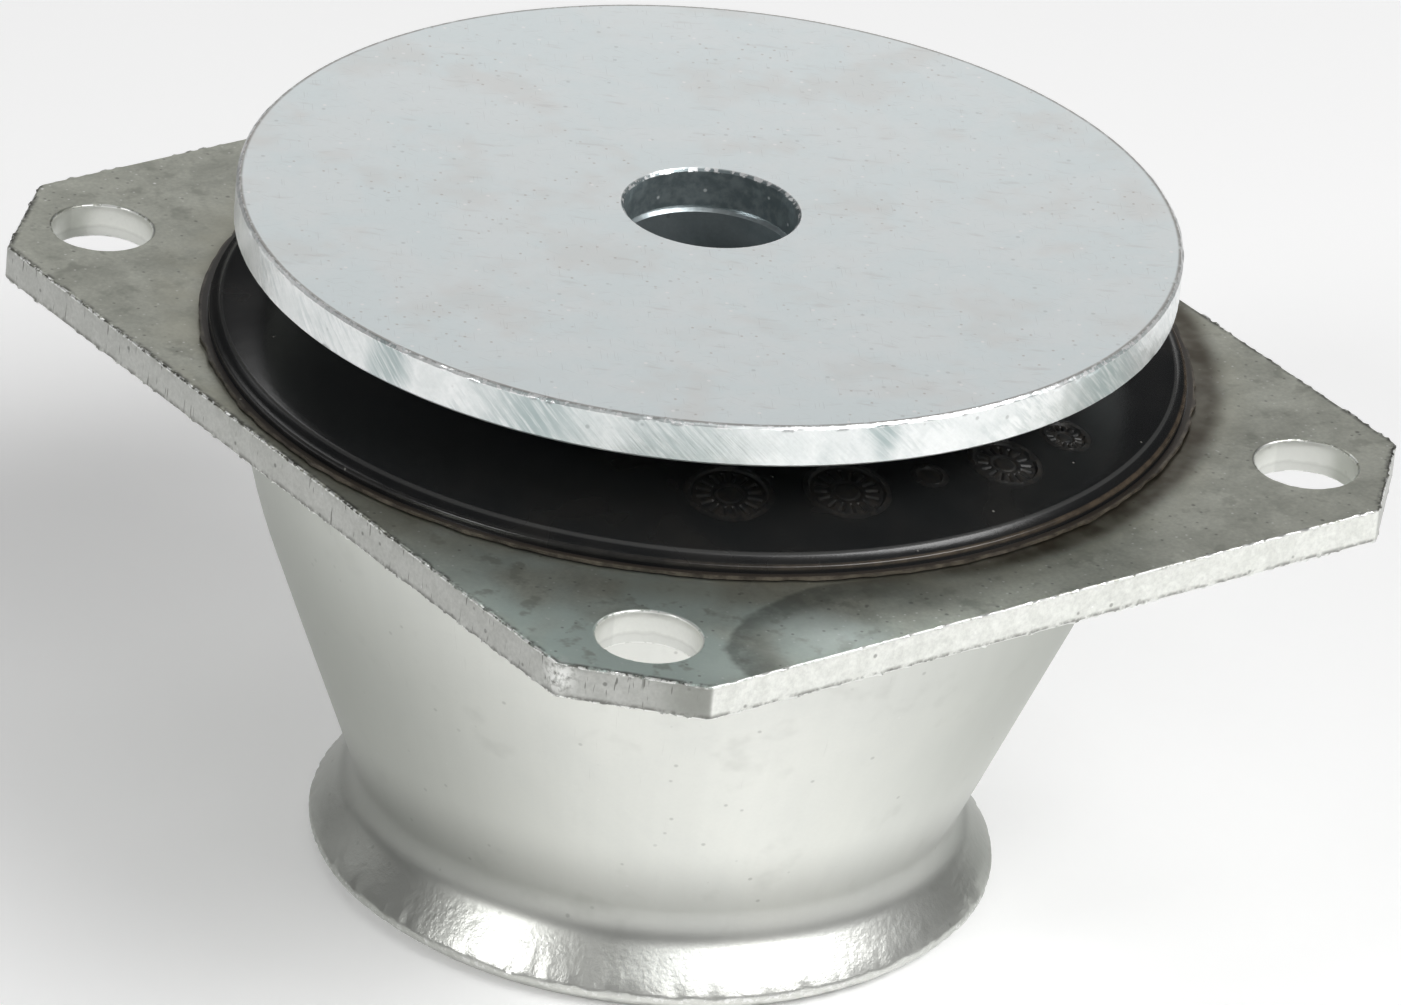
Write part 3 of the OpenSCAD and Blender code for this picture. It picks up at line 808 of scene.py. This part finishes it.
for rubbed_x, rubbed_y, strength in ((-54, -36, 1.0), (-42, -50, 0.75), (22, -61, 1.0)):
    rubbed = near(tree, point, (rubbed_x, rubbed_y, lid - 3), 13)
    teal = maths(tree, "MAXIMUM", teal, product(tree, rubbed, streaks, strength))
rim_colour = tint(tree, product(tree, teal, 0.85), skin["Colour"], (0.36, 0.45, 0.45, 1))
swirl = between(tree, clouds(tree, wrapped(tree, leaned, rim_mm, 0.9, 3.0), 1, 3.0, 0.65), 0.58, 0.38)
scraped = between(tree, clouds(tree, point, 9, 2.0), 0.42, 0.62, 0.15, 1.0)
rim_colour = tint(tree, product(tree, swirl, scraped, 0.42), rim_colour, (0.50, 0.56, 0.56, 1))
colour = tint(tree, on_rim, face_colour, rim_colour)
# Painted shade: the bore is painted dark teal, far darker than the washer's faces, with pale specks.
bore_colour_and_shade = tint(tree, between(tree, clouds(tree, point, 1.6, 3.0), 0.35, 0.7), (0.19, 0.23, 0.24, 1),
                   (0.31, 0.36, 0.37, 1))
bore_colour_and_shade = tint(tree, dots(tree, point, 1.7, 0.35, 0.22), bore_colour_and_shade, (0.8, 0.84, 0.84, 1))
colour = tint(tree, in_bore, colour, bore_colour_and_shade)
chipped = product(tree, maths(tree, "MAXIMUM",
                              between(tree, radius, bore_r / mm + 0.7, bore_r / mm + 0.4),
                              between(tree, radius, rim_mm - 0.6, rim_mm - 0.3)),
                  between(tree, z, lid - 0.65, lid - 0.4),
                  between(tree, clouds(tree, point, 0.9, 2.0), 0.5, 0.58))
colour = tint(tree, product(tree, chipped, 0.85), colour, (1, 1, 1, 1))
tree.links.new(colour, shader.inputs["Base Color"])
rough = maths(tree, "MULTIPLY_ADD", skin["Grain"], 0.06, 0.27)
tree.links.new(rough, shader.inputs["Roughness"])
chatter = clouds(tree, wrapped(tree, leaned, rim_mm, 0.6, 4), 1, 2.0, 0.6)
relief = product(tree, chatter, between(tree, on_rim, 0, 1, 0.05, 1.6))
bump = node(tree, "Bump", {"Distance": 0.03 * mm, "Height": relief})
tree.links.new(bump.outputs[0], shader.inputs["Normal"])


# Studio. A pale floor in a dim white room, and the camera where the photograph was taken from.
# A wide softbox stands high on the right, with smaller ones in front, at the left, above and behind.
target = Vector((-0.0042, -0.0094, 0.0598))
eye = Vector((-0.8049, -1.0283, 0.7341))
roll_deg = 5.648
camera = bpy.data.objects.new("camera", bpy.data.cameras.new("camera"))
camera.data.sensor_width = 36
camera.data.lens = 272.9
camera.data.clip_end = 20
camera.location = eye
camera.rotation_mode = "QUATERNION"
camera.rotation_quaternion = ((target - eye).to_track_quat("-Z", "Y")
                              @ Quaternion((0, 0, 1), math.radians(roll_deg)))
bpy.context.scene.collection.objects.link(camera)
bpy.context.scene.camera = camera
heading = math.atan2(eye.x - target.x, target.y - eye.y)


def softbox(name, right_deg, up_deg, distance, width, height, glow):
    """An area lamp at an angle to the right of the camera and above the floor, aimed at the part."""
    turn, rise = heading + math.radians(right_deg), math.radians(up_deg)
    lamp = bpy.data.lights.new(name, "AREA")
    lamp.shape = "RECTANGLE"
    lamp.size, lamp.size_y = width, height
    lamp.energy = glow * math.pi * width * height
    box = bpy.data.objects.new(name, lamp)
    box.location = target + distance * Vector(
        (math.sin(turn) * math.cos(rise), -math.cos(turn) * math.cos(rise), math.sin(rise)))
    box.rotation_mode = "QUATERNION"
    box.rotation_quaternion = (target - box.location).to_track_quat("-Z", "Y")
    bpy.context.scene.collection.objects.link(box)


softbox("softbox_key", 64, 45, 1.6, 1.2, 0.6, 9.2)
softbox("softbox_front", 20, 45, 1.6, 0.6, 0.6, 3.0)
softbox("softbox_left", -50, 30, 1.6, 0.35, 0.35, 17.0)
softbox("softbox_side", -115, 18, 1.6, 0.6, 0.6, 0.7)
softbox("softbox_back_left", -150, 45, 1.6, 0.6, 0.6, 1.7)
softbox("softbox_top", 180, 72, 1.6, 0.6, 0.6, 1.2)
softbox("softbox_back", 180, 18, 1.6, 0.6, 0.6, 1.0)

floor_bm = bmesh.new()
bmesh.ops.create_grid(floor_bm, x_segments=1, y_segments=1, size=4)
floor = finished(floor_bm, "floor")
floor_paint = bpy.data.materials.new("floor_paint")
floor_paint.use_nodes = True
floor_glow = 0.18
tree = floor_paint.node_tree
floor_shader = tree.nodes["Principled BSDF"]
floor_shader.inputs["Base Color"].default_value = (0.9, 0.9, 0.9, 1)
floor_shader.inputs["Roughness"].default_value = 0.9
floor_shader.inputs["Specular IOR Level"].default_value = 0
ray = node(tree, "LightPath").outputs
seen = maths(tree, "MAXIMUM", maths(tree, "MAXIMUM", ray["Is Camera Ray"], ray["Is Glossy Ray"]),
             ray["Is Transmission Ray"])
floor_shader.inputs["Emission Color"].default_value = (1, 1, 1, 1)
tree.links.new(maths(tree, "MULTIPLY", seen, floor_glow), floor_shader.inputs["Emission Strength"])
floor.data.materials.append(floor_paint)

world = bpy.data.worlds.new("white_room")
world.use_nodes = True
world.node_tree.nodes["Background"].inputs["Color"].default_value = (1, 1, 1, 1)
world.node_tree.nodes["Background"].inputs["Strength"].default_value = 0.04
bpy.context.scene.world = world
bpy.context.scene.view_settings.view_transform = "Standard"
